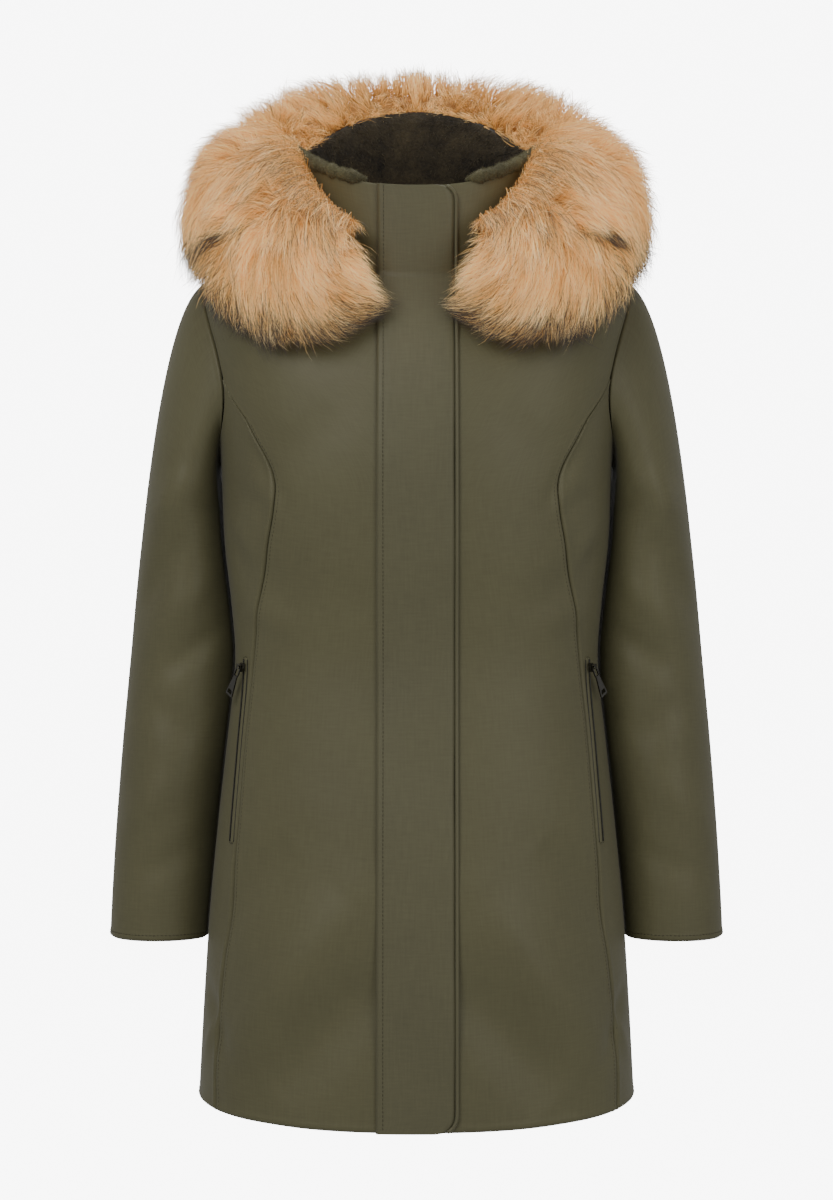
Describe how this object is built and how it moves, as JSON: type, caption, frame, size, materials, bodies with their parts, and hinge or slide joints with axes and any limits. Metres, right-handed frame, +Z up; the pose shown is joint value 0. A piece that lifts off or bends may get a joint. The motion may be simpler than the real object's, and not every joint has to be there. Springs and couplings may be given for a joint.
{
  "type": "fur trimmed parka",
  "caption": "Mid-thigh women's parka, filled out as worn, with a storm flap, princess seams, zip pockets and a lined hood worn down with a fur trimmed rim.",
  "frame": {"origin": "between the shoulders at the base of the neck, where the wearer carries the coat", "axes": "+Z up the wearer, front of the coat towards -Y, the wearer's left towards +X"},
  "size_m": [0.589, 0.3889, 1.0099],
  "materials": {
    "shell": "smooth satin-matt woven polyester, olive",
    "plush": "short dense dark olive-brown pile",
    "fur": "long imitation fur, tan with dark tips",
    "zip_metal": "gunmetal black, semi-gloss",
    "zip_tape": "dark coil and tape"
  },
  "bodies": {
    "garment": {"front_left": "shell", "front_right": "shell", "side_front_left": "shell", "side_front_right": "shell", "back": "shell", "sleeve_left": "shell", "sleeve_right": "shell", "collar_left": "shell", "collar_right": "shell", "hood_shell": "shell", "hood_lining": "plush", "fur_trim": "fur", "storm_flap": "shell", "flap_piping": "shell", "pocket_welt_left": "shell", "pocket_welt_right": "shell", "pocket_zip_left": "zip_tape", "pocket_zip_right": "zip_tape", "zip_slider_left": "zip_metal", "zip_slider_right": "zip_metal"},
    "pull_left": {"zip_pull_left": "zip_metal"},
    "pull_right": {"zip_pull_right": "zip_metal"}
  },
  "joints": [
    {"name": "pull_left_swing", "type": "hinge", "parent": "garment", "child": "pull_left", "pos_m": [0.16379, -0.06128, -0.40644], "axis": [-0.5795, -0.6436, -0.5], "range_deg": [0, 100]},
    {"name": "pull_right_swing", "type": "hinge", "parent": "garment", "child": "pull_right", "pos_m": [-0.16379, -0.06128, -0.40644], "axis": [-0.5795, 0.6436, 0.5], "range_deg": [0, 100]}
  ]
}
